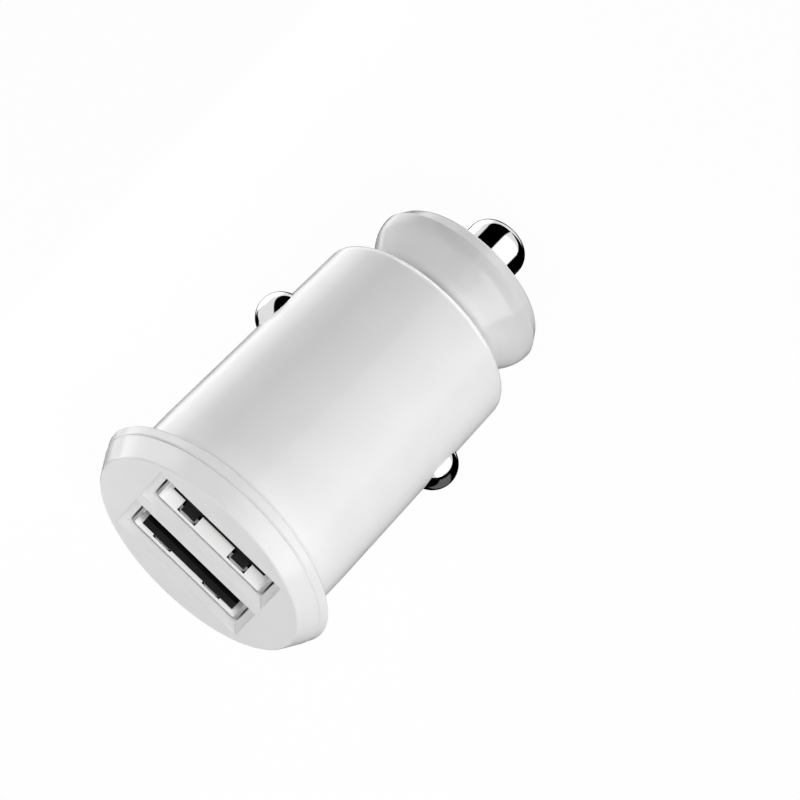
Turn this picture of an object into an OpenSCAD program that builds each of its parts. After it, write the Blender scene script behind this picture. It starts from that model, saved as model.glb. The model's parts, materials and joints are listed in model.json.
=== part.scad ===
// Car USB charger plug with two stacked sockets, for a 12 volt car outlet.
// Units are millimetres. The plug lies along Y: the sockets face -Y, the nose
// points to +Y, and the origin is on the axis at the flange's seat.

/* [Barrel] */
// Diameter of the barrel behind the flange
barrel_d = 21.4; // [21.2:0.1:22.4]
// Diameter of the barrel at its shoulder
barrel_nose_d = 20.2; // [19.6:0.1:21.0]
// Length of the straight land behind the flange, before the taper
land_len = 5; // [4:0.5:8]
// Distance from the flange's seat to the shoulder
shoulder_y = 28.1; // [27.6:0.1:32]
// Radius of the shoulder's edge
shoulder_round = 0.9; // [0.3:0.1:1.5]
// Thickness of the barrel's wall
barrel_wall = 1.4; // [1.1:0.05:1.6]
// Thickness of the barrel's nose wall
nose_wall_t = 1.5; // [1.2:0.1:2]
// Width of the flat boss inside the wall around a side contact
pad_rim = 0.8; // [0.6:0.05:1]
// Thickness of the rails that hold the board
rail_t = 0.8; // [0.6:0.1:1]
// Width of the board's edge that lies in the rails
rail_grip = 0.5; // [0.3:0.05:0.7]

/* [Flange and front cap] */
// Diameter of the flange at its rear edge
flange_d = 25.5; // [25:0.1:28]
// Thickness of the flange behind the cap
flange_t = 0.8; // [0.6:0.05:1.2]
// Diameter of the cap at its rim, where it meets the flange
cap_rim_d = 24.8; // [24.4:0.1:25.4]
// Diameter of the flat front face
face_d = 22.9; // [22.5:0.1:24]
// Thickness of the cap from its face to its rim
cap_t = 1.96; // [1.8:0.02:2.6]
// Bevel on the edges of the cap and the flange
edge_bevel = 0.12; // [0.05:0.01:0.2]
// Length of the snap tabs behind the cap
tab_len = 2; // [1.6:0.1:2.4]
// Thickness of the snap tabs
tab_t = 0.9; // [0.7:0.05:1]
// Height of the bead on each snap tab
bead_h = 0.15; // [0.1:0.01:0.2]
// Width of the bead on each snap tab
bead_w = 0.6; // [0.4:0.05:0.7]
// Width of the slots between the snap tabs
tab_slot_w = 2.2; // [1.8:0.1:2.6]

/* [Socket openings] */
// Depth of the bevelled recess around each socket
recess_depth = 0.75; // [0.5:0.05:0.9]
// Width of the bevel at the ends of a recess
recess_end_bevel = 0.75; // [0.4:0.05:0.8]
// Width of the bevel along the sides of a recess
recess_side_bevel = 0.22; // [0.1:0.02:0.24]

/* [USB sockets] */
// Inner width of a socket shell
shell_inner_w = 12.3; // [12.2:0.05:12.5]
// Inner height of a socket shell
shell_inner_h = 5.0; // [4.9:0.05:5.1]
// Thickness of the shell's sheet
shell_t = 0.25; // [0.2:0.01:0.3]
// Length of a socket shell
shell_len = 12.2; // [12:0.1:12.8]
// Height of a shell above the board
shell_lift = 0.55; // [0.4:0.05:0.6]
// Outer radius of the shell's folded corners
shell_round = 0.55; // [0.4:0.05:0.7]
// Distance of each spring finger from the middle of the shell
finger_x = 3.03; // [2.6:0.01:3.4]
// Width of the window around a spring finger
window_w = 2.1; // [1.8:0.05:2.4]
// Distance from the shell's mouth to its windows
window_start = 0.3; // [0.25:0.05:0.6]
// Length of a window
window_len = 6.4; // [5.6:0.1:7]
// Width of a spring finger
finger_w = 1.6; // [1:0.05:1.65]
// Gap between a finger's tip and the front of its window
finger_tip_gap = 0.3; // [0.3:0.1:1.2]
// Length of the finger's raised tip
finger_tip_len = 1; // [0.8:0.1:1.4]
// Depth that a finger dips into the shell
finger_dip = 0.35; // [0.3:0.05:0.6]
// Gap beside the tongue
tongue_side_gap = 0.6; // [0.45:0.05:0.75]
// Thickness of the tongue
tongue_t = 1.84; // [1.7:0.02:1.9]
// Distance from the tongue's back to the shell's wall
tongue_back_gap = 0.4; // [0.35:0.01:0.6]
// Distance from the shell's mouth to the tongue
tongue_inset = 0.25; // [0.1:0.05:0.6]
// Thickness of the moulded block at the back of the socket
block_t = 2; // [1.6:0.1:2.4]
// Width of a contact strip
strip_w = 0.9; // [0.8:0.05:1]
// Thickness of a contact strip
strip_t = 0.25; // [0.2:0.01:0.3]
// Height that a contact strip stands above its groove
strip_proud = 0.1; // [0.05:0.01:0.15]

/* [Nose collar] */
// Length of the collar beyond the shoulder
collar_len = 6.9; // [6:0.1:8]
// Diameter of the collar at its neck
neck_d = 13.3; // [13:0.1:14]
// Largest diameter of the collar
collar_d = 17.6; // [16:0.1:19]
// Diameter of the collar's end
collar_end_d = 16.4; // [15:0.1:17]
// Length of the rim at the collar's end
rim_len = 1.3; // [1:0.1:1.6]
// Radius of the curve from the flare to the rim
flare_round = 3; // [2:0.1:3.4]
// Radius of the hollow curve at the neck
neck_round = 3.2; // [2:0.1:3.6]
// Thickness of the collar's end wall
collar_end_t = 2; // [1.6:0.1:2.4]
// Diameter of the spigot that passes through the nose wall
spigot_d = 12.4; // [12:0.1:12.8]
// Height of the lip that holds the spigot behind the nose wall
lip_h = 0.35; // [0.2:0.05:0.5]
// Length of that lip
lip_len = 0.8; // [0.6:0.1:1]
// Length of the straight neck next to the shoulder
neck_land = 0.4; // [0.2:0.1:0.6]
// Bevel on the edges of the collar's end
rim_bevel = 0.25; // [0.15:0.05:0.4]

/* [Centre pin] */
// Diameter of the centre pin
pin_d = 5.9; // [5:0.1:6.4]
// Length of the pin beyond the collar at rest
pin_proud = 6; // [5:0.1:7]
// Radius of the pin's rounded tip
pin_round = 1.9; // [1:0.1:2.2]
// Distance that the pin travels in
pin_travel = 2.5; // [1.5:0.1:3]
// Thickness of the flange that keeps the pin in
pin_flange_t = 1; // [0.8:0.1:1.2]
// Width of that flange beyond the pin
pin_flange_w = 1.2; // [0.8:0.1:1.2]

/* [Side contacts] */
// Distance of the side contacts from the flange's seat
contact_y = 19.4; // [18.8:0.1:20.4]
// Radius of the ball-shaped nose
ball_r = 2.38; // [2:0.02:2.5]
// Height of the nose above the barrel at rest
contact_proud = 1.46; // [1:0.02:1.5]
// Distance that a side contact travels in
contact_travel = 1.3; // [1:0.05:1.4]
// Depth of the flat pad inside the wall
pad_depth = 1.2; // [1.1:0.05:1.3]
// Thickness of the flange that keeps a contact in
contact_flange_t = 0.7; // [0.5:0.05:0.8]
// Width of that flange beyond the ball
contact_flange_w = 0.7; // [0.5:0.05:0.8]

/* [Springs] */
// Diameter of the centre spring's wire
pin_wire_d = 0.5; // [0.4:0.05:0.6]
// Outer diameter of the centre spring
pin_coil_d = 5.2; // [4.8:0.1:5.6]
// Number of turns of the centre spring
pin_turns = 6; // [4:1:7]
// Diameter of the side springs' wire
side_wire_d = 0.35; // [0.3:0.05:0.4]
// Outer diameter of the side springs
side_coil_d = 3.8; // [3.4:0.1:4.2]
// Number of turns of a side spring
side_turns = 4; // [3:1:4]
// Clearance between a spring and the boss that centres it
spring_play = 0.15; // [0.1:0.01:0.2]

/* [Circuit board] */
// Thickness of the board
board_t = 1.6; // [1.4:0.1:1.8]
// Gap between the board's edge and the bore of the barrel
board_edge_gap = 0.8; // [0.6:0.05:0.9]
// Width of the board between the side contacts
board_waist = 6.6; // [6.4:0.1:7]
// Width of the board's nose end
board_tail_w = 12; // [10:0.5:14]
// Distance from the flange's seat to the board
board_start = 2; // [1.8:0.1:2.4]
// Distance from the board's nose end to the nose wall
spring_room = 2; // [1.6:0.1:2.2]
// Thickness of the brass sheet parts
brass_t = 0.4; // [0.3:0.05:0.5]
// Width of the brass plate's edge around the centre spring
plate_rim = 0.9; // [0.6:0.1:1.2]
// Width of the plate's legs that hold the board
plate_leg_w = 3; // [2:0.1:4]
// Length of the plate's legs along the board
plate_leg_len = 1.6; // [1.2:0.1:1.8]
// Width of the brass clip's edge around a side spring
ear_rim = 0.7; // [0.5:0.1:1]
// Height of the clip's ears above the board
ear_h = 2.2; // [2:0.1:3]
// Width of the clip's strap across the board
strap_w = 3; // [2:0.1:4]

/* [Board parts] */
// Diameter of the capacitor cans
can_d = 3.9; // [3:0.1:4]
// Height of the capacitor cans
can_h = 4.4; // [4:0.1:5]
// Diameter of the power inductor
inductor_d = 4; // [3:0.1:4.1]
// Height of the power inductor
inductor_h = 3.4; // [3:0.1:4]
// Distance from the board's edge to the cans, the inductor and the diode
part_edge_gap = 2; // [1.8:0.1:2.2]
// Thickness of the discs of the inductor's core
disc_t = 0.7; // [0.5:0.1:0.8]
// Depth of the winding below the edge of the core
winding_step = 0.18; // [0.1:0.02:0.3]
// Width of the converter chip's body
chip_w = 3.9; // [3.4:0.1:4]
// Length of the converter chip's body
chip_l = 4.9; // [4.6:0.1:5.2]
// Height of the converter chip's body
chip_h = 1.45; // [1.2:0.05:1.8]
// Width of the chip with its leads
chip_span = 6; // [5.6:0.1:6.2]
// Length of the diode's body
diode_l = 4.2; // [3.6:0.1:4.2]
// Width of the diode's body
diode_w = 2.6; // [2:0.1:2.8]
// Height of the diode's body
diode_h = 2.1; // [1.6:0.1:2.4]
// Distance between the small chips on the board's nose end
chip_pitch = 2; // [1.4:0.1:2]
// Distance from the edge of the board's nose end to the first small chip
chip_edge_gap = 1; // [0.6:0.1:1.2]
// Length of a small chip
small_chip_l = 1.2; // [1:0.1:1.4]
// Width of a small chip
small_chip_w = 0.8; // [0.6:0.1:1]

/* [Fits] */
// Running clearance around the pin and the side contacts
slide_clear = 0.05; // [0.03:0.01:0.08]
// Clearance around the snap tabs, the spigot and the moulded blocks
snap_clear = 0.08; // [0.05:0.01:0.12]
// Gap beside a shell in its opening
shell_gap_w = 0.2; // [0.1:0.02:0.22]
// Gap above and below a shell in its opening
shell_gap_h = 0.28; // [0.06:0.01:0.3]
// Clearance of the board in its rails and of tabs in its slots
board_clear = 0.1; // [0.05:0.01:0.15]
// Clearance of the collar's lip behind the nose wall
lip_clear = 0.02; // [0.01:0.01:0.05]
// Clearance around the flange of the centre pin
flange_play = 0.25; // [0.15:0.05:0.3]
// Clearance of the shells' corners in the reliefs of the bore
relief_clear = 0.2; // [0.15:0.01:0.25]

/* [Hidden] */
$fn = 96;

// Surplus that a cut runs past the surface it opens
over = 1;

// Stations along the axis
face_y = -(flange_t + cap_t);
recess_y = face_y + recess_depth;
shell_rear_y = recess_y + shell_len;
nose_wall_y = shoulder_y - nose_wall_t;
collar_end_y = shoulder_y + collar_len;
pin_seat_y = collar_end_y - collar_end_t;
pin_flange_y = pin_seat_y - pin_flange_t;
pin_tip_y = collar_end_y + pin_proud;

// Barrel
barrel_r = barrel_d / 2;
nose_r = barrel_nose_d / 2;
mouth_r = barrel_r - barrel_wall;
function barrel_r_at(y) =
    y <= land_len ? barrel_r : barrel_r + (nose_r - barrel_r) * (y - land_len) / (shoulder_y - land_len);
function bore_r_at(y) = barrel_r_at(y) - barrel_wall;

// Front cap
tab_y0 = -flange_t;
tab_y1 = tab_y0 + tab_len;
tab_r = mouth_r - snap_clear;
tab_lead = 0.2;
bead_y = tab_y1 - tab_lead - bead_w / 2;

// USB sockets
shell_w = shell_inner_w + 2 * shell_t;
shell_h = shell_inner_h + 2 * shell_t;
socket_pitch = board_t + 2 * shell_lift + shell_h;
opening_w = shell_w + 2 * shell_gap_w;
opening_h = shell_h + 2 * shell_gap_h;
tongue_w = shell_inner_w - 2 * tongue_side_gap;
tongue_y = recess_y + tongue_inset;
block_y = shell_rear_y - block_t;
tongue_z1 = shell_inner_h / 2 - tongue_back_gap;
tongue_z0 = tongue_z1 - tongue_t;
strip_xs = [-3.5, -1, 1, 3.5];
strip_y = recess_y + 1.6;
strip_z = tongue_z0 - strip_proud;
strip_foot = 0.9;
strip_leg_y = shell_rear_y + 0.12;
shell_leg_w = 1.4;
shell_leg_ys = [3.2, 7];
shell_leg_step = 1.9;

// Side contacts
contact_tip_x = barrel_r_at(contact_y) + contact_proud;
ball_x = contact_tip_x - ball_r;
pad_x = bore_r_at(contact_y) - pad_depth;
contact_flange_r = ball_r + contact_flange_w;
pad_r = contact_flange_r + pad_rim;
contact_back_x = pad_x - contact_flange_t;
ear_x = board_waist / 2 + board_clear + brass_t;
centring_len = (contact_back_x - ear_x - contact_travel) / 2.4;

// Collar and pin
pin_r = pin_d / 2;
neck_r = neck_d / 2;
spigot_r = spigot_d / 2;
cavity_r = pin_r + pin_flange_w + flange_play;
spigot_y = nose_wall_y - lip_len;
flare_angle = 30;

// Circuit board
board_top = board_t / 2;
waist_y0 = contact_y - pad_r - board_clear;
waist_y1 = contact_y + contact_flange_r + 2 * board_clear;
board_r = min(mouth_r, bore_r_at(waist_y0)) - board_edge_gap;
board_w = 2 * sqrt(pow(board_r, 2) - pow(board_top, 2));
board_end = nose_wall_y - spring_room;
part_y = (strip_leg_y + strip_foot + waist_y0) / 2;
part_x = board_w / 2 - part_edge_gap - can_d / 2;
plate_y = board_end + brass_t;
pin_boss_len = (pin_flange_y - plate_y - pin_travel) / 5;

// Turns a shape built along Z to lie along Y
module along_y() {
    rotate([-90, 0, 0]) children();
}

// Solid of revolution on the plug's axis, from points given as radius and station
module turned(points) {
    along_y() rotate_extrude() polygon(points);
}

// Points of an arc from angle a0 to angle a1
function arc(cx, cy, r, a0, a1, steps = 10) =
    [for (i = [0:steps]) let (a = a0 + (a1 - a0) * i / steps) [cx + r * cos(a), cy + r * sin(a)]];

// Rectangle with round corners
module round_rect(w, h, r) {
    square([w - 2 * r, h], center = true);
    square([w, h - 2 * r], center = true);
    for (x = [-1, 1], y = [-1, 1])
        translate([x * (w / 2 - r), y * (h / 2 - r)]) circle(r);
}

// Places what is drawn for the upper socket, whose tongue is towards +Z
module at_upper() {
    translate([0, 0, socket_pitch / 2]) children();
}

// Mirrors the upper socket's place below the board
module at_lower() {
    mirror([0, 0, 1]) at_upper() children();
}

module box_at(x0, x1, y0, y1, z0, z1) {
    translate([x0, y0, z0]) cube([x1 - x0, y1 - y0, z1 - z0]);
}

// Sheet profile in the YZ plane, given a width along X
module across_x(x, w) {
    translate([x - w / 2, 0, 0]) rotate([90, 0, 90]) linear_extrude(w) children();
}

// Profile in the XY plane, given a height along Z
module across_z(z, h) {
    translate([0, 0, z]) linear_extrude(h) children();
}

// Front cap with its bevelled recesses and snap tabs
module recess_cut() {
    end_x = opening_w / 2;
    side_z = opening_h / 2;
    intersection() {
        across_z(-shell_h, 2 * shell_h) polygon([
            [-end_x, recess_y], [end_x, recess_y],
            [end_x + recess_end_bevel, face_y], [end_x + recess_end_bevel, face_y - over],
            [-end_x - recess_end_bevel, face_y - over], [-end_x - recess_end_bevel, face_y]]);
        across_x(0, 2 * shell_w) polygon([
            [recess_y, -side_z], [recess_y, side_z],
            [face_y, side_z + recess_side_bevel], [face_y - over, side_z + recess_side_bevel],
            [face_y - over, -side_z - recess_side_bevel], [face_y, -side_z - recess_side_bevel]]);
    }
}

module opening_cut() {
    recess_cut();
    translate([0, face_y, 0]) along_y() linear_extrude(cap_t + tab_len + over)
        round_rect(opening_w, opening_h, shell_round + shell_gap_h);
}

module front_cap() {
    face_r = face_d / 2;
    rim_r = cap_rim_d / 2;
    color("white") difference() {
        union() {
            turned([
                [0, face_y], [face_r - edge_bevel, face_y],
                [face_r, face_y + edge_bevel],
                [rim_r, -flange_t - edge_bevel], [rim_r - edge_bevel, -flange_t],
                [0, -flange_t]]);
            turned([
                [tab_r - tab_t, tab_y0 - edge_bevel], [tab_r, tab_y0 - edge_bevel],
                [tab_r, bead_y - bead_w / 2], [tab_r + bead_h, bead_y],
                [tab_r, bead_y + bead_w / 2], [tab_r - tab_lead, tab_y1],
                [tab_r - tab_t, tab_y1]]);
        }
        at_upper() opening_cut();
        at_lower() opening_cut();
        // Slots that part the skirt into four tabs
        for (a = [0, 90]) rotate([0, 45 + a, 0])
            box_at(-tab_slot_w / 2, tab_slot_w / 2, tab_y0, tab_y1 + over, -barrel_r, barrel_r);
    }
}

// Barrel with its flange, side bores, board rails and nose wall
module barrel_body() {
    flange_r = flange_d / 2;
    ring_r = cap_rim_d / 2;
    turned(concat(
        [[mouth_r, -flange_t], [ring_r - edge_bevel, -flange_t], [ring_r + 0.03, -flange_t + edge_bevel],
         [flange_r, -edge_bevel], [flange_r - edge_bevel, 0]],
        [[barrel_r, 0], [barrel_r, land_len]],
        arc(nose_r - shoulder_round, shoulder_y - shoulder_round, shoulder_round, 0, 90),
        [[spigot_r + snap_clear, shoulder_y], [spigot_r + snap_clear, nose_wall_y],
         [bore_r_at(nose_wall_y), nose_wall_y], [mouth_r, land_len]]));
}

module side_pad() {
    intersection() {
        translate([pad_x, contact_y, 0]) rotate([0, 90, 0]) cylinder(r = pad_r, h = barrel_r);
        turned([[0, waist_y0 - over], [bore_r_at(contact_y) + barrel_wall / 2, waist_y0 - over],
                [bore_r_at(contact_y) + barrel_wall / 2, waist_y1 + over], [0, waist_y1 + over]]);
    }
}

module board_rail() {
    rail_z = board_top + board_clear;
    intersection() {
        box_at(board_w / 2 - rail_grip, barrel_r, board_start + rail_t, waist_y0 - rail_t / 2,
            rail_z, rail_z + rail_t);
        turned([[0, 0], [mouth_r + barrel_wall / 3, 0],
            [bore_r_at(waist_y0) + barrel_wall / 3, waist_y0], [0, waist_y0]]);
    }
}

// Relief in the bore for the corners of a shell
module shell_relief() {
    start_y = -flange_t - over;
    translate([0, start_y, 0]) along_y() linear_extrude(shell_rear_y + relief_clear - start_y)
        round_rect(shell_w + 2 * relief_clear, shell_h + 2 * relief_clear, shell_round + relief_clear);
}

module barrel() {
    color("white") difference() {
        union() {
            barrel_body();
            for (x = [0, 1]) mirror([x, 0, 0]) {
                side_pad();
                for (z = [0, 1]) mirror([0, 0, z]) board_rail();
            }
        }
        at_upper() shell_relief();
        at_lower() shell_relief();
        // Bores for the side contacts
        for (x = [0, 1]) mirror([x, 0, 0]) translate([pad_x - over, contact_y, 0])
            rotate([0, 90, 0]) cylinder(r = ball_r + slide_clear, h = barrel_r);
        // Groove for the snap beads of the cap
        turned([
            [mouth_r - over, bead_y - bead_w / 2 - snap_clear], [mouth_r, bead_y - bead_w / 2 - snap_clear],
            [mouth_r + bead_h, bead_y - snap_clear], [mouth_r + bead_h, bead_y + snap_clear],
            [mouth_r, bead_y + bead_w / 2 + snap_clear], [mouth_r - over, bead_y + bead_w / 2 + snap_clear]]);
    }
}

// Nose collar, a flared cap that snaps through the nose wall
module nose_collar() {
    wide_r = collar_d / 2;
    end_r = collar_end_d / 2;
    rim_y = collar_end_y - rim_len;
    bore_r = pin_r + slide_clear;
    lip_y = nose_wall_y - lip_clear;
    color("white") turned(concat(
        [[bore_r, pin_seat_y], [bore_r, collar_end_y - rim_bevel], [bore_r + rim_bevel, collar_end_y],
         [end_r - rim_bevel, collar_end_y], [end_r, collar_end_y - rim_bevel]],
        arc(wide_r - flare_round, rim_y, flare_round, 0, -flare_angle),
        arc(neck_r + neck_round, shoulder_y + neck_land, neck_round, 180 - flare_angle, 180, 6),
        [[neck_r, shoulder_y], [spigot_r, shoulder_y], [spigot_r, lip_y],
         [spigot_r + lip_h, lip_y], [spigot_r, spigot_y],
         [cavity_r, spigot_y], [cavity_r, pin_seat_y]]));
}

// Centre pin with the flange that keeps it in
module centre_pin() {
    color("silver") along_y() rotate_extrude() {
        translate([0, pin_flange_y]) square([pin_r + pin_flange_w, pin_flange_t]);
        translate([0, pin_flange_y]) square([pin_r, pin_tip_y - pin_round - pin_flange_y]);
        translate([0, pin_flange_y]) square([pin_r - pin_round, pin_tip_y - pin_flange_y]);
        intersection() {
            translate([pin_r - pin_round, pin_tip_y - pin_round]) circle(pin_round);
            translate([0, pin_tip_y - 2 * pin_round]) square([pin_r, 2 * pin_round]);
        }
        translate([0, pin_flange_y - pin_boss_len])
            square([pin_coil_d / 2 - pin_wire_d - spring_play, pin_boss_len + pin_flange_t]);
    }
}

// Right-hand side contact with its ball nose
module side_contact() {
    color("silver") translate([0, contact_y, 0]) rotate([0, 90, 0]) rotate_extrude() {
        translate([0, contact_back_x]) square([contact_flange_r, contact_flange_t]);
        translate([0, contact_back_x]) square([ball_r, ball_x - contact_back_x]);
        intersection() {
            translate([0, ball_x]) circle(ball_r);
            translate([0, ball_x]) square(ball_r);
        }
        translate([0, contact_back_x - centring_len])
            square([side_coil_d / 2 - side_wire_d - spring_play, centring_len + contact_flange_t]);
    }
}

// Coil spring from z = 0 to z = len, with a closed turn at each end
function coil_z(u, turns, len, wire) =
    let (low = wire / 2, pitch = wire * 1.12, open = (len - wire - 2 * pitch) / (turns - 2))
    u < 1 ? low + pitch * u :
    u < turns - 1 ? low + pitch + open * (u - 1) :
    low + pitch + open * (turns - 2) + pitch * (u - turns + 1);

module coil_spring(coil_d, wire, turns, len, steps, sides) {
    rings = turns * steps;
    mid_r = (coil_d - wire) / 2;
    points = [for (i = [0:rings], j = [0:sides - 1])
        let (a = 360 * i / steps, b = 360 * j / sides, r = mid_r + wire / 2 * cos(b))
        [r * cos(a), r * sin(a), coil_z(i / steps, turns, len, wire) + wire / 2 * sin(b)]];
    walls = [for (i = [0:rings - 1], j = [0:sides - 1])
        let (k = (j + 1) % sides)
        [i * sides + j, i * sides + k, (i + 1) * sides + k, (i + 1) * sides + j]];
    ends = [[for (j = [sides - 1:-1:0]) j], [for (j = [0:sides - 1]) rings * sides + j]];
    polyhedron(points, concat(walls, ends), convexity = 8);
}

module pin_spring() {
    color("dimgray") translate([0, plate_y, 0]) along_y()
        coil_spring(pin_coil_d, pin_wire_d, pin_turns, pin_flange_y - plate_y, 18, 8);
}

module side_spring() {
    color("dimgray") translate([ear_x, contact_y, 0]) rotate([0, 90, 0])
        coil_spring(side_coil_d, side_wire_d, side_turns, contact_back_x - ear_x, 16, 6);
}

// Brass plate on the end of the board, which the centre spring pushes on
module pin_spring_plate() {
    color("goldenrod") {
        translate([0, board_end, 0]) along_y() cylinder(r = pin_coil_d / 2 + plate_rim, h = brass_t);
        for (z = [0, 1]) mirror([0, 0, z])
            box_at(-plate_leg_w / 2, plate_leg_w / 2, board_end - plate_leg_len, board_end + brass_t / 2,
                board_top, board_top + brass_t);
    }
}

// Brass clip across the board's waist, which the side springs push on
module ground_clip() {
    ear_w = side_coil_d + 2 * ear_rim;
    color("goldenrod") {
        for (x = [0, 1]) mirror([x, 0, 0])
            box_at(ear_x - brass_t, ear_x, contact_y - ear_w / 2, contact_y + ear_w / 2,
                -ear_w / 2, board_top + ear_h);
        box_at(-ear_x, ear_x, contact_y - strap_w / 2, contact_y + strap_w / 2,
            board_top, board_top + brass_t);
    }
}

// Slots in the board for the legs of the shells
module leg_slots(shift) {
    for (x = [-1, 1], y = shell_leg_ys)
        translate([x * (shell_w - shell_t) / 2, y + shift, 0])
            cube([shell_t + 2 * board_clear, shell_leg_w + 2 * board_clear, board_t + over], center = true);
}

module circuit_board() {
    color("darkgreen") difference() {
        union() {
            box_at(-board_w / 2, board_w / 2, board_start, waist_y0, -board_top, board_top);
            box_at(-board_waist / 2, board_waist / 2, board_start, board_end, -board_top, board_top);
            box_at(-board_tail_w / 2, board_tail_w / 2, waist_y1, board_end, -board_top, board_top);
        }
        leg_slots(0);
        leg_slots(shell_leg_step);
    }
}

// Stamped shell of the upper socket with its spring fingers
module window_cut(w, h) {
    r = 0.5;
    translate([0, recess_y + window_start + window_len / 2, 0]) across_z(-h / 2, h)
        round_rect(w, window_len, r);
}

module spring_finger(dip) {
    root_y = recess_y + window_start + window_len + 0.1;
    tip_y = recess_y + window_start + finger_tip_gap;
    bend_y = tip_y + finger_tip_len;
    tip_rise = shell_t;
    across_x(0, finger_w) polygon([
        [root_y, 0], [bend_y, -dip], [tip_y, -dip + tip_rise],
        [tip_y, -dip + tip_rise + shell_t], [bend_y, -dip + shell_t], [root_y, shell_t]]);
}

module usb_shell(shift) {
    inner_r = shell_round - shell_t;
    leg_short = 0.2;
    leg_len = shell_lift + shell_round + board_t - leg_short;
    color("gainsboro") {
        difference() {
            translate([0, recess_y, 0]) along_y() linear_extrude(shell_len) difference() {
                round_rect(shell_w, shell_h, shell_round);
                round_rect(shell_inner_w, shell_inner_h, inner_r);
            }
            for (x = [-1, 1]) translate([x * finger_x, 0, 0]) window_cut(window_w, shell_h + over);
            rotate([0, 90, 0]) window_cut(window_w, shell_w + over);
        }
        for (x = [-1, 1]) translate([x * finger_x, 0, 0]) {
            translate([0, 0, shell_inner_h / 2]) spring_finger(tongue_back_gap * 0.3);
            mirror([0, 0, 1]) translate([0, 0, shell_inner_h / 2]) spring_finger(finger_dip);
        }
        for (a = [-90, 90]) rotate([0, a, 0]) translate([0, 0, shell_inner_w / 2]) spring_finger(finger_dip);
        // Legs through the board
        for (x = [-1, 1], y = shell_leg_ys)
            translate([x * (shell_w - shell_t) / 2, y + shift, -shell_h / 2 + shell_round])
                mirror([0, 0, 1]) translate([-shell_t / 2, -shell_leg_w / 2, 0])
                    cube([shell_t, shell_leg_w, leg_len]);
    }
}

// Moulded tongue and back block of the upper socket
module usb_insulator() {
    block_w = shell_inner_w - 2 * snap_clear;
    block_h = shell_inner_h - 2 * snap_clear;
    groove_w = strip_w + 2 * snap_clear;
    lead_bevel = 0.1;
    back_bevel = 0.18;
    color([0.06, 0.06, 0.07]) difference() {
        union() {
            across_x(0, tongue_w) polygon([
                [shell_rear_y, tongue_z0], [shell_rear_y, tongue_z1], [tongue_y + back_bevel, tongue_z1],
                [tongue_y, tongue_z1 - back_bevel], [tongue_y, tongue_z0 + lead_bevel],
                [tongue_y + lead_bevel, tongue_z0]]);
            box_at(-block_w / 2, block_w / 2, block_y, shell_rear_y, -block_h / 2, block_h / 2);
        }
        for (x = strip_xs)
            box_at(x - groove_w / 2, x + groove_w / 2, strip_y - snap_clear, shell_rear_y + over,
                strip_z - 0.02, strip_z + strip_t);
    }
}

// Contact strip of the upper socket, with its leg and foot on the board
module usb_strip(x) {
    leg_y = strip_leg_y;
    foot_z = board_top - socket_pitch / 2;
    color("gold") across_x(x, strip_w) polygon([
        [strip_y, strip_z + strip_t], [strip_y, strip_z + 0.12], [strip_y + 0.15, strip_z],
        [leg_y, strip_z], [leg_y, foot_z],
        [leg_y + strip_foot, foot_z], [leg_y + strip_foot, foot_z + strip_t],
        [leg_y + strip_t, foot_z + strip_t], [leg_y + strip_t, strip_z + strip_t]]);
}

// Converter chip under the board's waist
module buck_chip() {
    lead_w = 0.4;
    lead_pitch = 1.27;
    color([0.1, 0.1, 0.1]) mirror([0, 0, 1]) {
        box_at(-chip_w / 2, chip_w / 2, contact_y - chip_l / 2, contact_y + chip_l / 2,
            board_top + 0.1, board_top + chip_h);
        for (x = [0, 1], i = [-1.5:1.5]) mirror([x, 0, 0])
            translate([0, contact_y + i * lead_pitch + lead_w / 2, 0])
                rotate([90, 0, 0]) linear_extrude(lead_w) polygon([
                    [chip_w / 2 - 0.1, board_top + 0.75], [chip_w / 2 + 0.3, board_top + 0.75],
                    [chip_w / 2 + 0.45, board_top + 0.2], [chip_span / 2, board_top + 0.2],
                    [chip_span / 2, board_top], [chip_w / 2 + 0.3, board_top],
                    [chip_w / 2 + 0.12, board_top + 0.55], [chip_w / 2 - 0.1, board_top + 0.55]]);
    }
}

// Ferrite drum of the power inductor
module inductor_core() {
    color("dimgray") translate([part_x, part_y, board_top]) {
        cylinder(d = inductor_d, h = disc_t);
        cylinder(d = inductor_d * 0.45, h = inductor_h);
        translate([0, 0, inductor_h - disc_t]) cylinder(d = inductor_d, h = disc_t);
    }
}

module inductor_winding() {
    wind_d = inductor_d - 2 * winding_step;
    color("chocolate") translate([part_x, part_y, board_top + disc_t]) difference() {
        cylinder(d = wind_d, h = inductor_h - 2 * disc_t);
        translate([0, 0, -over]) cylinder(d = inductor_d * 0.45, h = inductor_h + over);
    }
}

// Capacitor can standing on the board
module capacitor_can() {
    base_h = 0.5;
    groove_z = 1;
    along = can_d / 2;
    rotate_extrude() polygon([
        [0, 0], [along, 0], [along, base_h], [along - 0.12, base_h],
        [along - 0.12, groove_z], [along - 0.3, groove_z + 0.15], [along - 0.12, groove_z + 0.3],
        [along - 0.12, can_h - 0.2], [along - 0.3, can_h], [0, can_h]]);
}

module input_capacitor() {
    color("lightsteelblue") translate([-part_x, part_y, board_top]) capacitor_can();
}

module output_capacitor() {
    color("lightsteelblue") mirror([0, 0, 1]) translate([part_x, part_y, board_top]) capacitor_can();
}

module schottky_diode() {
    tab_w = 1.4;
    tab_l = 0.5;
    color([0.12, 0.12, 0.12]) mirror([0, 0, 1]) translate([-part_x, part_y, board_top]) {
        translate([-diode_l / 2, -diode_w / 2, 0.1]) cube([diode_l, diode_w, diode_h - 0.1]);
        translate([-diode_l / 2 - tab_l, -tab_w / 2, 0]) cube([diode_l + 2 * tab_l, tab_w, 0.25]);
    }
}

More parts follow.
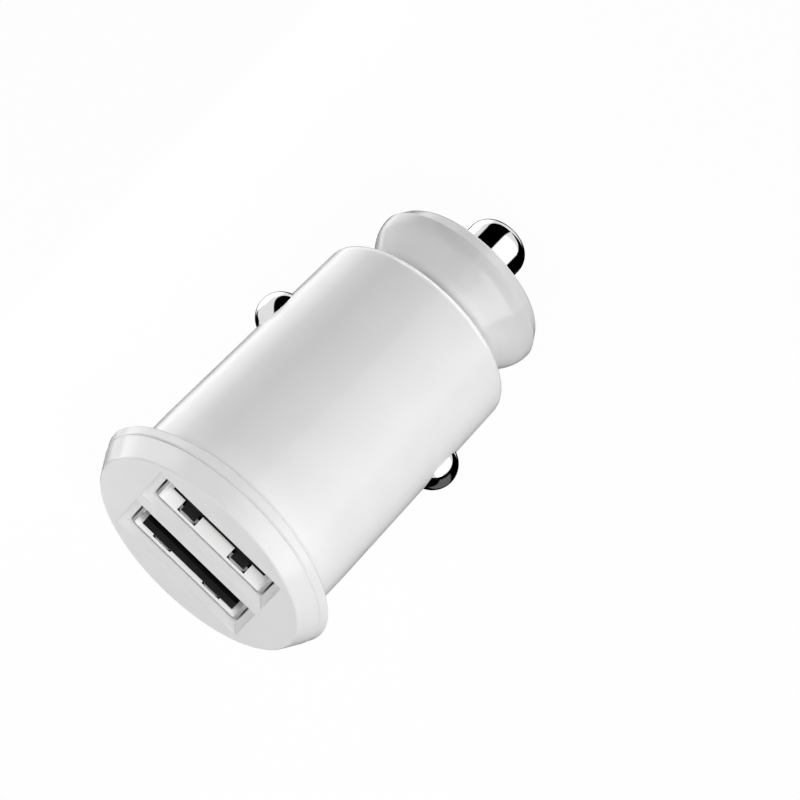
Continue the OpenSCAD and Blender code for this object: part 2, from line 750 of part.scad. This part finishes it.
// Row of small chips on the board's nose end
module chip_row(side, height) {
    row_y = (waist_y1 + board_end) / 2;
    outer_x = (board_tail_w - small_chip_w) / 2 - chip_edge_gap;
    for (x = [outer_x, outer_x - chip_pitch]) translate([side * x, row_y, board_top + height / 2])
        cube([small_chip_w, small_chip_l, height], center = true);
}

module ceramic_capacitors() {
    color("tan") for (z = [0, 1]) mirror([0, 0, z]) chip_row(1, 0.7);
}

module chip_resistors() {
    color([0.15, 0.15, 0.17]) for (z = [0, 1]) mirror([0, 0, z]) chip_row(-1, 0.4);
}

front_cap();
barrel();
nose_collar();
centre_pin();
pin_spring();
pin_spring_plate();
mirror([1, 0, 0]) side_contact();  // left_contact
side_contact();  // right_contact
mirror([1, 0, 0]) side_spring();  // left_contact_spring
side_spring();  // right_contact_spring
ground_clip();
circuit_board();
at_upper() usb_shell(0);  // upper_usb_shell
at_lower() usb_shell(shell_leg_step);  // lower_usb_shell
at_upper() usb_insulator();  // upper_usb_insulator
at_lower() usb_insulator();  // lower_usb_insulator
for (i = [1:4]) {
    at_upper() usb_strip(strip_xs[i - 1]);
    at_lower() usb_strip(strip_xs[i - 1]);
}
buck_chip();
inductor_core();
inductor_winding();
input_capacitor();
output_capacitor();
schottky_diode();
ceramic_capacitors();
chip_resistors();
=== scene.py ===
import json
import math

import bmesh
import bpy
from mathutils import Matrix, Vector


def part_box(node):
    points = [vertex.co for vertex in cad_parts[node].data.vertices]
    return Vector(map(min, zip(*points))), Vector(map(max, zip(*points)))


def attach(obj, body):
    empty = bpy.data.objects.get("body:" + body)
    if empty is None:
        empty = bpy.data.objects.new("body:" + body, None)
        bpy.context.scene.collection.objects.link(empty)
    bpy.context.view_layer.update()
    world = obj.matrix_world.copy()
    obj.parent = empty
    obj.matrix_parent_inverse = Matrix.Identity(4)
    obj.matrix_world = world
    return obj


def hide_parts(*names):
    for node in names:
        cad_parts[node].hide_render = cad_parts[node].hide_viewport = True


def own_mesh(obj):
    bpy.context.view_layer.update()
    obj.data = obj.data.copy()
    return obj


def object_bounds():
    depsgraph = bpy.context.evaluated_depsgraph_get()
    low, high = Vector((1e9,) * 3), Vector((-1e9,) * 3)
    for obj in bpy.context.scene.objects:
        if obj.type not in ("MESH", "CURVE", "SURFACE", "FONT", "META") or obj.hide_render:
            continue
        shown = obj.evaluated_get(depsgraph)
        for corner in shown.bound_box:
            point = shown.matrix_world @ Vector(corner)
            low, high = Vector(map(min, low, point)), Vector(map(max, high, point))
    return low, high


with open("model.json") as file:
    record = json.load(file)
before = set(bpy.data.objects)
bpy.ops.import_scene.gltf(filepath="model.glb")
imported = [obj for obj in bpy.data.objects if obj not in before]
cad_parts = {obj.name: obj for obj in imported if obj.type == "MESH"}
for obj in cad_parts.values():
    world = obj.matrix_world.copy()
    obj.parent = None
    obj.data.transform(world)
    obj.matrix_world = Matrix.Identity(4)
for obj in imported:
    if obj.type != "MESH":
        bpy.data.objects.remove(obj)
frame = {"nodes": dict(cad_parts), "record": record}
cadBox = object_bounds()
nodes = frame["nodes"]
mm = 0.001
print("frame loaded,", len(nodes), "nodes")


# Helpers for node trees
def newMaterial(name):
    material = bpy.data.materials.new(name)
    material.use_nodes = True
    tree = material.node_tree
    tree.nodes.clear()
    output = tree.nodes.new("ShaderNodeOutputMaterial")
    shader = tree.nodes.new("ShaderNodeBsdfPrincipled")
    tree.links.new(shader.outputs["BSDF"], output.inputs["Surface"])
    return material, tree, shader


def objectPoint(tree):
    coord = tree.nodes.new("ShaderNodeTexCoord")
    return coord.outputs["Object"]


def alongY(tree, point):
    node = tree.nodes.new("ShaderNodeSeparateXYZ")
    tree.links.new(point, node.inputs[0])
    return node.outputs["Y"]


def maths(tree, operation, first, second=None, third=None):
    node = tree.nodes.new("ShaderNodeMath")
    node.operation = operation
    for place, value in zip(node.inputs, (first, second, third)):
        if value is None:
            continue
        if isinstance(value, (int, float)):
            place.default_value = value
        else:
            tree.links.new(value, place)
    return node.outputs[0]


def noise(tree, point, scale, detail):
    node = tree.nodes.new("ShaderNodeTexNoise")
    node.inputs["Scale"].default_value = scale
    node.inputs["Detail"].default_value = detail
    tree.links.new(point, node.inputs["Vector"])
    return node.outputs["Fac"]


# Noise lies mostly between 0.3 and 0.7, so that is spread over the whole range
def ranged(tree, value, low, high, fromLow=0.3, fromHigh=0.7):
    node = tree.nodes.new("ShaderNodeMapRange")
    node.inputs["From Min"].default_value = fromLow
    node.inputs["From Max"].default_value = fromHigh
    node.inputs["To Min"].default_value = low
    node.inputs["To Max"].default_value = high
    tree.links.new(value, node.inputs["Value"])
    return node.outputs["Result"]


def blended(tree, share, first, second):
    node = tree.nodes.new("ShaderNodeMix")
    node.data_type = "RGBA"
    for place, colour in ((node.inputs[6], first), (node.inputs[7], second)):
        if isinstance(colour, tuple):
            place.default_value = (*colour, 1)
        else:
            tree.links.new(colour, place)
    tree.links.new(share, node.inputs[0])
    return node.outputs[2]


def bump(tree, shader, height, strength, depth, edgeRadius=0, edgeSamples=6):
    node = tree.nodes.new("ShaderNodeBump")
    if edgeRadius:
        rounded = tree.nodes.new("ShaderNodeBevel")
        rounded.samples = edgeSamples
        rounded.inputs["Radius"].default_value = edgeRadius
        tree.links.new(rounded.outputs["Normal"], node.inputs["Normal"])
    node.inputs["Strength"].default_value = strength
    node.inputs["Distance"].default_value = depth
    tree.links.new(height, node.inputs["Height"])
    tree.links.new(node.outputs["Normal"], shader.inputs["Normal"])


def stretched(tree, point, scale):
    node = tree.nodes.new("ShaderNodeMapping")
    node.inputs["Scale"].default_value = scale
    tree.links.new(point, node.inputs["Vector"])
    return node.outputs["Vector"]


# White moulded housing: satin ABS with a fine spark-eroded grain
plastic = {
    "light": (0.8, 0.8, 0.8),
    "shade": (0.78, 0.78, 0.78),
    "gloss": (0.16, 0.22),
    "edgeRadius": 0.11 * mm,
    "cloudScale": 260,
    "grainScale": 9000,
    "grainStrength": 0.05,
    "grainDepth": 0.004 * mm,
}

# The collar is a separate moulding, glossier, and painted a little greyer as painted shade from the barrel, and
# paler at its root by the barrel as painted light
shadedCollarPlastic = {
    **plastic,
    # Painted shade: the collar's white is darker than the housing's
    "light": (0.66, 0.66, 0.66),
    "shade": (0.64, 0.64, 0.64),
    # Painted light: paler near the root by the barrel, where the collar lies in shade
    "paintedRootLight": (0.84, 0.84, 0.84),
    "paintedRootLightRange": (28.4 * mm, 30.6 * mm),
    "gloss": (0.12, 0.17),
}


def makePlastic(name, values):
    material, tree, shader = newMaterial(name)
    point = objectPoint(tree)
    cloud = noise(tree, point, values["cloudScale"], detail=3)
    colour = blended(tree, ranged(tree, cloud, 0, 1), values["shade"], values["light"])
    # Painted light: a paler colour blended in by the Y position, towards the collar's root
    if "paintedRootLight" in values:
        paintedRootLightShare = ranged(tree, alongY(tree, point), 1, 0, *values["paintedRootLightRange"])
        colour = blended(tree, paintedRootLightShare, colour, values["paintedRootLight"])
    tree.links.new(colour, shader.inputs["Base Color"])
    tree.links.new(ranged(tree, cloud, *values["gloss"]), shader.inputs["Roughness"])
    grain = noise(tree, point, values["grainScale"], detail=2)
    bump(tree, shader, grain, values["grainStrength"], values["grainDepth"], values["edgeRadius"])
    return material


# Chromed pin and ball contacts
chrome = {
    "colour": (0.95, 0.95, 0.95),
    "hazed": (0.9, 0.9, 0.905),
    "gloss": (0.02, 0.05),
    "hazeScale": 900,
    "brushScale": (5200, 300, 5200),
    "scratchStrength": 0.04,
    "scratchDepth": 0.001 * mm,
}


def makeMetal(name, values):
    material, tree, shader = newMaterial(name)
    point = objectPoint(tree)
    haze = noise(tree, point, values["hazeScale"], detail=4)
    tree.links.new(blended(tree, ranged(tree, haze, 0, 1), values["hazed"], values["colour"]),
                   shader.inputs["Base Color"])
    tree.links.new(ranged(tree, haze, *values["gloss"]), shader.inputs["Roughness"])
    shader.inputs["Metallic"].default_value = 1
    brushed = noise(tree, stretched(tree, point, values["brushScale"]), scale=1, detail=2)
    bump(tree, shader, brushed, values["scratchStrength"], values["scratchDepth"])
    return material


# Tin-plated sheet of the USB shells: pale and satin, with painted shade on the spring fingers and a painted dark
# reflection in grey along the cut edge at the mouth
socketSteel = {
    "colour": (0.97, 0.97, 0.965),
    "hazed": (0.93, 0.93, 0.925),
    # painted shade for the spring fingers in the windows
    "fingers": (0.012, 0.012, 0.0125),
    # painted dark reflection along the mouth's cut edge
    "paintedMouthReflection": (0.36, 0.36, 0.365),
    "paintedMouthReflectionEnd": -1.99 * mm,
    "fingerX": 3.03 * mm,
    "fingerWidth": 2.14 * mm,
    "fingerStart": -1.73 * mm,
    "fingerEnd": 4.69 * mm,
    "metallic": 0.05,
    "shine": 0.25,
    "gloss": (0.3, 0.42),
    "cloudScale": 500,
    "brushScale": (600, 6000, 6000),
    "scratchStrength": 0.1,
    "scratchDepth": 0.002 * mm,
}


def makeSocketSteel():
    material, tree, shader = newMaterial("socketSteel")
    point = objectPoint(tree)
    cloud = noise(tree, point, socketSteel["cloudScale"], detail=4)
    sheet = blended(tree, ranged(tree, cloud, 0, 1), socketSteel["hazed"], socketSteel["colour"])
    axes = tree.nodes.new("ShaderNodeSeparateXYZ")
    tree.links.new(point, axes.inputs[0])
    aside = maths(tree, "ABSOLUTE", axes.outputs["X"])
    offMiddle = maths(tree, "ABSOLUTE", maths(tree, "SUBTRACT", aside, socketSteel["fingerX"]))
    inWidth = maths(tree, "LESS_THAN", offMiddle, socketSteel["fingerWidth"] / 2)
    behindMouth = maths(tree, "GREATER_THAN", axes.outputs["Y"], socketSteel["fingerStart"])
    beforeEnd = maths(tree, "LESS_THAN", axes.outputs["Y"], socketSteel["fingerEnd"])
    # Painted shade: the spring fingers in the windows are painted near black
    finger = maths(tree, "MULTIPLY", inWidth, maths(tree, "MULTIPLY", behindMouth, beforeEnd))
    sheetWithFingerShade = blended(tree, finger, sheet, socketSteel["fingers"])
    # Painted reflection: the sheet in front of the mouth's edge is painted grey
    mouthReflectionMask = maths(tree, "LESS_THAN", axes.outputs["Y"], socketSteel["paintedMouthReflectionEnd"])
    tree.links.new(blended(tree, mouthReflectionMask, sheetWithFingerShade, socketSteel["paintedMouthReflection"]), shader.inputs["Base Color"])
    tree.links.new(ranged(tree, cloud, *socketSteel["gloss"]), shader.inputs["Roughness"])
    shader.inputs["Metallic"].default_value = socketSteel["metallic"]
    shader.inputs["Specular IOR Level"].default_value = socketSteel["shine"]
    brushed = noise(tree, stretched(tree, point, socketSteel["brushScale"]), scale=1, detail=2)
    bump(tree, shader, brushed, socketSteel["scratchStrength"], socketSteel["scratchDepth"])
    return material


# Springs, ground clip, contact strips, winding and capacitor cans
springSteel = {
    "colour": (0.5, 0.5, 0.51),
    "hazed": (0.38, 0.38, 0.39),
    "gloss": (0.25, 0.4),
    "hazeScale": 1500,
    "brushScale": (3000, 3000, 3000),
    "scratchStrength": 0.1,
    "scratchDepth": 0.002 * mm,
}
brassSheet = {
    "colour": (0.83, 0.62, 0.28),
    "hazed": (0.7, 0.5, 0.22),
    "gloss": (0.2, 0.35),
    "hazeScale": 400,
    "brushScale": (800, 6000, 6000),
    "scratchStrength": 0.12,
    "scratchDepth": 0.002 * mm,
}
goldPlate = {
    "colour": (1.0, 0.76, 0.33),
    "hazed": (0.92, 0.66, 0.26),
    "gloss": (0.12, 0.24),
    "hazeScale": 1200,
    "brushScale": (5000, 400, 5000),
    "scratchStrength": 0.08,
    "scratchDepth": 0.001 * mm,
}
copperWire = {
    "colour": (0.86, 0.42, 0.22),
    "hazed": (0.72, 0.3, 0.14),
    "gloss": (0.15, 0.28),
    "hazeScale": 1500,
    "brushScale": (2000, 2000, 9000),
    "scratchStrength": 0.15,
    "scratchDepth": 0.003 * mm,
}
canAluminium = {
    "colour": (0.86, 0.86, 0.87),
    "hazed": (0.74, 0.75, 0.77),
    "gloss": (0.16, 0.28),
    "hazeScale": 700,
    "brushScale": (4000, 4000, 300),
    "scratchStrength": 0.1,
    "scratchDepth": 0.002 * mm,
}


# Moulded or fired parts inside, each with two tones and a grain
socketBlack = {
    "dark": (0.002, 0.002, 0.002),
    "light": (0.004, 0.004, 0.004),
    "gloss": (0.5, 0.62),
    "shine": 0.05,
    "cloudScale": 700,
    "grainScale": 7000,
    "grainStrength": 0.2,
    "grainDepth": 0.01 * mm,
}
chipBlack = {
    "dark": (0.012, 0.012, 0.013),
    "light": (0.025, 0.025, 0.026),
    "gloss": (0.45, 0.6),
    "shine": 0.5,
    "cloudScale": 900,
    "grainScale": 6000,
    "grainStrength": 0.3,
    "grainDepth": 0.01 * mm,
}
ferrite = {
    "dark": (0.03, 0.03, 0.032),
    "light": (0.06, 0.06, 0.062),
    "gloss": (0.4, 0.55),
    "shine": 0.5,
    "cloudScale": 1200,
    "grainScale": 5000,
    "grainStrength": 0.4,
    "grainDepth": 0.01 * mm,
}
ceramicTan = {
    "dark": (0.5, 0.36, 0.2),
    "light": (0.62, 0.46, 0.28),
    "gloss": (0.35, 0.5),
    "shine": 0.5,
    "cloudScale": 1500,
    "grainScale": 6000,
    "grainStrength": 0.2,
    "grainDepth": 0.005 * mm,
}
boardGreen = {
    "dark": (0.008, 0.09, 0.03),
    "light": (0.012, 0.13, 0.045),
    "gloss": (0.2, 0.32),
    "shine": 0.5,
    "cloudScale": 300,
    "grainScale": 3000,
    "grainStrength": 0.1,
    "grainDepth": 0.01 * mm,
}


def makeMoulded(name, values):
    material, tree, shader = newMaterial(name)
    point = objectPoint(tree)
    cloud = noise(tree, point, values["cloudScale"], detail=3)
    tree.links.new(blended(tree, ranged(tree, cloud, 0, 1), values["dark"], values["light"]),
                   shader.inputs["Base Color"])
    tree.links.new(ranged(tree, cloud, *values["gloss"]), shader.inputs["Roughness"])
    shader.inputs["Specular IOR Level"].default_value = values["shine"]
    grain = noise(tree, point, values["grainScale"], detail=3)
    bump(tree, shader, grain, values["grainStrength"], values["grainDepth"])
    return material


finishes = {
    "white_plastic": makePlastic("whitePlastic", plastic),
    "chrome_plate": makeMetal("chromePlate", chrome),
    "socket_steel": makeSocketSteel(),
    "spring_steel": makeMetal("springSteel", springSteel),
    "brass_sheet": makeMetal("brassSheet", brassSheet),
    "gold_plate": makeMetal("goldPlate", goldPlate),
    "copper_wire": makeMetal("copperWire", copperWire),
    "can_aluminium": makeMetal("canAluminium", canAluminium),
    "socket_black": makeMoulded("socketBlack", socketBlack),
    "chip_black": makeMoulded("chipBlack", chipBlack),
    "ferrite": makeMoulded("ferrite", ferrite),
    "ceramic_tan": makeMoulded("ceramicTan", ceramicTan),
    "board_green": makeMoulded("boardGreen", boardGreen),
}
for part in frame["record"]["subparts"]:
    node = nodes[part["node"]]
    for place in node.material_slots:
        place.material = finishes[part["material_slot"]]
# The collar gets the greyer plastic, with its painted shade and the painted light at its root
nodes["nose_collar"].material_slots[0].material = makePlastic("shadedCollarPlastic", shadedCollarPlastic)
print(len(finishes) + 1, "finishes ready")

# Coil springs with closed end turns, wound round Y and then turned to their place
# The pitch of an end turn is in wires, and "keep" is the share of the length left when pressed
pinSpring = {
    "coil": 5.2 * mm,
    "wire": 0.5 * mm,
    "turns": 6,
    "endPitch": 1.12,
    "sides": 14,
    "steps": 32,
    "keep": 0.643,
}
sideSpring = {
    "coil": 3.8 * mm,
    "wire": 0.35 * mm,
    "turns": 4,
    "endPitch": 1.12,
    "sides": 12,
    "steps": 32,
    "keep": 0.597,
}


def keepMesh(bm, name, body, slotName, *replaced):
    data = bpy.data.meshes.new(name)
    bm.to_mesh(data)
    bm.free()
    data.shade_smooth()
    data.materials.append(finishes[slotName])
    piece = bpy.data.objects.new(name, data)
    bpy.context.scene.collection.objects.link(piece)
    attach(piece, body)
    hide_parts(*replaced)
    return piece


def windSpring(values, length):
    wire = values["wire"]
    bm = bmesh.new()
    ring = bmesh.ops.create_circle(bm, cap_ends=False, radius=wire / 2, segments=values["sides"])
    bmesh.ops.translate(bm, verts=ring["verts"], vec=((values["coil"] - wire) / 2, wire / 2, 0))
    closed = wire * values["endPitch"]
    openTurns = values["turns"] - 2
    opened = (length - wire - 2 * closed) / openTurns
    front = list(bm.edges)
    bmesh.ops.edgeloop_fill(bm, edges=front)
    for turns, pitch in ((1, closed), (openTurns, opened), (1, closed)):
        spun = bmesh.ops.spin(bm, geom=front, cent=(0, 0, 0), axis=(0, 1, 0), angle=-2 * math.pi * turns,
                              steps=turns * values["steps"], dvec=(0, pitch / values["steps"], 0),
                              use_merge=False)
        front = [part for part in spun["geom_last"] if isinstance(part, bmesh.types.BMEdge)]
    bmesh.ops.edgeloop_fill(bm, edges=front)
    bmesh.ops.recalc_face_normals(bm, faces=bm.faces)
    return bm


low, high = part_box("pin_spring")
bm = windSpring(pinSpring, high.y - low.y)
bmesh.ops.translate(bm, verts=bm.verts, vec=(0, low.y, 0))
spring = keepMesh(bm, "pinSpring", "housing", "spring_steel", "pin_spring")
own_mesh(spring)
for side, sign in (("right", 1), ("left", -1)):
    node = side + "_contact_spring"
    low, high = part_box(node)
    inner = low.x if sign > 0 else high.x
    bm = windSpring(sideSpring, high.x - low.x)
    quarter = Matrix.Rotation(math.radians(-90 * sign), 3, "Z")
    bmesh.ops.rotate(bm, verts=bm.verts, cent=(0, 0, 0), matrix=quarter)
    bmesh.ops.translate(bm, verts=bm.verts, vec=(inner, (low.y + high.y) / 2, 0))
    spring = keepMesh(bm, side + "Spring", "housing", "spring_steel", node)
    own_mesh(spring)
print("springs wound")

# Pale floor just under the plug, nearly white to the camera so that it keeps a faint shadow
floorValues = {
    "radius": 1.5,
    "sides": 96,
    "gap": 0.02 * mm,
    "shade": (0.88, 0.88, 0.88),
    "light": (0.9, 0.9, 0.9),
    "cloudScale": 40,
    "roughness": 0.9,
    "whiteShare": 0.96,
}
floorZ = cadBox[0].z - floorValues["gap"]
floorMesh = bmesh.new()
bmesh.ops.create_circle(floorMesh, cap_ends=True, radius=floorValues["radius"],
                         segments=floorValues["sides"])
bmesh.ops.translate(floorMesh, verts=floorMesh.verts, vec=(0, 0, floorZ))
floorData = bpy.data.meshes.new("floor")
floorMesh.to_mesh(floorData)
floorMesh.free()
floor = bpy.data.objects.new("floor", floorData)
bpy.context.scene.collection.objects.link(floor)
floor.visible_glossy = False

floorMaterial, tree, shader = newMaterial("paleFloor")
cloud = noise(tree, objectPoint(tree), floorValues["cloudScale"], detail=2)
tree.links.new(blended(tree, cloud, floorValues["shade"], floorValues["light"]), shader.inputs["Base Color"])
shader.inputs["Roughness"].default_value = floorValues["roughness"]
glowing = tree.nodes.new("ShaderNodeEmission")
rays = tree.nodes.new("ShaderNodeLightPath")
mixer = tree.nodes.new("ShaderNodeMixShader")
share = maths(tree, "MULTIPLY", rays.outputs["Is Camera Ray"], floorValues["whiteShare"])
tree.links.new(share, mixer.inputs[0])
tree.links.new(shader.outputs[0], mixer.inputs[1])
tree.links.new(glowing.outputs[0], mixer.inputs[2])
tree.links.new(mixer.outputs[0], tree.nodes["Material Output"].inputs["Surface"])
floorData.materials.append(floorMaterial)

# World: white to the camera and dim to the plastic, and white to reflections apart from dark flags
# A patch is given by its turn from straight up towards +X and its lift towards +Y, in degrees
worldValues = {
    "ambient": 0.3,
    "edge": 3,
    "overhead": {"start": -60, "end": -8, "slant": -0.7},  # dark band on the left of the key card
    "right": (75, 142),  # dark band on the right
    "flags": (
        {"turn": (120, 174), "lift": (-60, 14)},  # low on the right, for the right contact
        {"turn": (-172, -138), "lift": (-28, 2)},  # low on the left, for the left contact
        {"turn": (138, 181), "lift": (-10, 56)},  # behind, for the outline of the pin
        {"turn": (-181, -154), "lift": (-10, 56)},
    ),
    "grey": {"turn": (92, 150), "lift": (-22, 18), "level": 0.14},  # soft light in the dark of the contact
    "rim": {"turn": (-150, -104), "lift": (4, 46), "edge": 10, "more": 1.7},  # gleam on the barrel's left
}
world = bpy.data.worlds.new("studio")
bpy.context.scene.world = world
world.use_nodes = True
tree = world.node_tree
tree.nodes.clear()


def between(value, low, high, edge):
    rise = maths(tree, "SUBTRACT", value, low)
    fall = maths(tree, "SUBTRACT", high, value)
    node = tree.nodes.new("ShaderNodeMapRange")
    node.interpolation_type = "SMOOTHSTEP"
    node.inputs["From Min"].default_value = -edge
    node.inputs["From Max"].default_value = edge
    tree.links.new(maths(tree, "MINIMUM", rise, fall), node.inputs["Value"])
    return node.outputs["Result"]


def patchShare(patch):
    edge = patch.get("edge", worldValues["edge"])
    return maths(tree, "MULTIPLY", between(turn, *patch["turn"], edge), between(lift, *patch["lift"], edge))


coord = tree.nodes.new("ShaderNodeTexCoord")
axes = tree.nodes.new("ShaderNodeSeparateXYZ")
tree.links.new(coord.outputs["Generated"], axes.inputs[0])
turn = maths(tree, "DEGREES", maths(tree, "ARCTAN2", axes.outputs["X"], axes.outputs["Z"]))
lift = maths(tree, "DEGREES", maths(tree, "ARCSINE", axes.outputs["Y"]))
overhead = worldValues["overhead"]
overheadStart = maths(tree, "MULTIPLY_ADD", lift, overhead["slant"], overhead["start"])
overheadFlag = between(turn, overheadStart, overhead["end"], worldValues["edge"])
rightFlag = between(turn, *worldValues["right"], worldValues["edge"])
darkest = maths(tree, "MAXIMUM", overheadFlag, rightFlag)
for patch in worldValues["flags"]:
    darkest = maths(tree, "MAXIMUM", darkest, patchShare(patch))
grey = maths(tree, "MULTIPLY", patchShare(worldValues["grey"]), worldValues["grey"]["level"])
mirrored = maths(tree, "MAXIMUM", maths(tree, "SUBTRACT", 1, darkest), grey)
brighter = maths(tree, "MULTIPLY_ADD", patchShare(worldValues["rim"]), worldValues["rim"]["more"], 1)
mirrored = maths(tree, "MULTIPLY", mirrored, brighter)
rays = tree.nodes.new("ShaderNodeLightPath")
mirrorRay = maths(tree, "MAXIMUM", rays.outputs["Is Glossy Ray"], rays.outputs["Is Transmission Ray"])
seen = maths(tree, "MAXIMUM", rays.outputs["Is Camera Ray"], maths(tree, "MULTIPLY", mirrorRay, mirrored))
plainRay = maths(tree, "SUBTRACT", 1, maths(tree, "MAXIMUM", rays.outputs["Is Camera Ray"], mirrorRay))
level = maths(tree, "ADD", seen, maths(tree, "MULTIPLY", plainRay, worldValues["ambient"]))
background = tree.nodes.new("ShaderNodeBackground")
tree.links.new(level, background.inputs["Strength"])
worldOutput = tree.nodes.new("ShaderNodeOutputWorld")
tree.links.new(background.outputs[0], worldOutput.inputs["Surface"])
print("floor and world ready")


# Soft cards that light the plug, with turn as above and sizes in metres
# "faces" turns a card to the origin, "mirrored" shows it in reflections, "gleamOnly" keeps it out of plain light,
# and "lights" names the only nodes that it reaches
cards = {
    "keyCard": {
        "turn": 33.5, "distance": 0.25, "along": 0.085, "size": (0.44, 0.53), "level": 0.28,
        "mirrored": True,
    },
    "keyCore": {
        "turn": 42, "distance": 0.25, "along": -0.11, "size": (0.32, 0.13), "level": 2,
        "mirrored": True,
    },
    "socketCard": {"turn": 0, "distance": 0.23, "along": -0.105, "size": (0.16, 0.06), "level": 7.8},
    "rearCard": {
        "turn": 20, "distance": 0.07, "along": 0.32, "size": (0.16, 0.08), "level": 5,
        "faces": True,
    },
    "backCard": {
        "turn": 0, "distance": 0.03, "along": 0.4, "size": (0.6, 0.12), "level": 4.5,
        "faces": True, "mirrored": True, "lights": ("barrel",),
    },
    "collarCard": {
        "turn": 20, "distance": 0.07, "along": 0.32, "size": (0.16, 0.08), "level": 10,
        "faces": True, "lights": ("nose_collar",),
    },
    "shellCard": {
        "turn": 0, "distance": 0.23, "along": -0.105, "size": (0.16, 0.06), "level": 7,
        "lights": ("upper_usb_shell", "lower_usb_shell"),
    },
    "capGleam": {
        "turn": -95, "distance": 0.25, "along": -0.064, "size": (0.56, 0.12), "level": 3,
        "faces": True, "mirrored": True, "gleamOnly": True, "lights": ("front_cap", "barrel"),
    },
    "leftStrip": {"turn": -92, "distance": 0.25, "along": 0.05, "size": (0.03, 0.5), "level": 2.4},
    "lowStrip": {"turn": -105, "distance": 0.03, "along": 0.015, "size": (0.008, 0.09), "level": 2.4},
    "rightStrip": {"turn": 86, "distance": 0.25, "along": 0.05, "size": (0.06, 0.5), "level": 1.6},
}


def addCard(name, values, axes, place):
    size = values["size"]
    light = bpy.data.lights.new(name, "AREA")
    light.shape = "RECTANGLE"
    light.size, light.size_y = size
    light.energy = values["level"] * math.pi * size[0] * size[1]
    card = bpy.data.objects.new(name, light)
    card.matrix_world = Matrix.Translation(place) @ Matrix(axes).transposed().to_4x4()
    card.visible_camera = False
    card.visible_glossy = values.get("mirrored", False)
    card.visible_diffuse = not values.get("gleamOnly", False)
    bpy.context.scene.collection.objects.link(card)
    if "lights" in values:
        lit = bpy.data.collections.new(name + "Lights")
        for node in values["lights"]:
            lit.objects.link(nodes[node])
        card.light_linking.receiver_collection = lit


for name, values in cards.items():
    angle = math.radians(values["turn"])
    out = Vector((math.sin(angle), 0, math.cos(angle)))
    ahead = Vector((0, 1, 0))
    place = out * values["distance"] + ahead * values["along"]
    if values.get("faces"):
        out = place.normalized()
        ahead = out.cross(ahead).cross(out).normalized()
    addCard(name, values, (out.cross(ahead), ahead, out), place)
print("lights ready")

# Camera, from a fit of the photograph's circles: it looks past the socket face by "right" and "up"
cameraValues = {
    "distance": 792.6 * mm,
    "right": 17.886 * mm,
    "up": 13.672 * mm,
    "tilt": 65.475,
    "roll": 44.05,
    "lens": 402.8,
    "sensor": 36,
    "clipStart": 0.01,
    "clipEnd": 20,
}
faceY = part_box("front_cap")[0].y
tilt = math.radians(cameraValues["tilt"])
roll = math.radians(cameraValues["roll"])
back = Vector((0, -math.cos(tilt), math.sin(tilt)))
unrolledUp = Vector((0, math.sin(tilt), math.cos(tilt)))
right = Vector((1, 0, 0)) * math.cos(roll) + unrolledUp * math.sin(roll)
up = back.cross(right)
place = Vector((0, faceY, 0)) + back * cameraValues["distance"]
place += right * cameraValues["right"] + up * cameraValues["up"]
cameraData = bpy.data.cameras.new("camera")
cameraData.lens = cameraValues["lens"]
cameraData.sensor_width = cameraValues["sensor"]
cameraData.clip_start = cameraValues["clipStart"]
cameraData.clip_end = cameraValues["clipEnd"]
camera = bpy.data.objects.new("camera", cameraData)
camera.matrix_world = Matrix.Translation(place) @ Matrix((right, up, back)).transposed().to_4x4()
bpy.context.scene.collection.objects.link(camera)
bpy.context.scene.camera = camera
bpy.context.scene.view_settings.view_transform = "Standard"

print("scene ready")
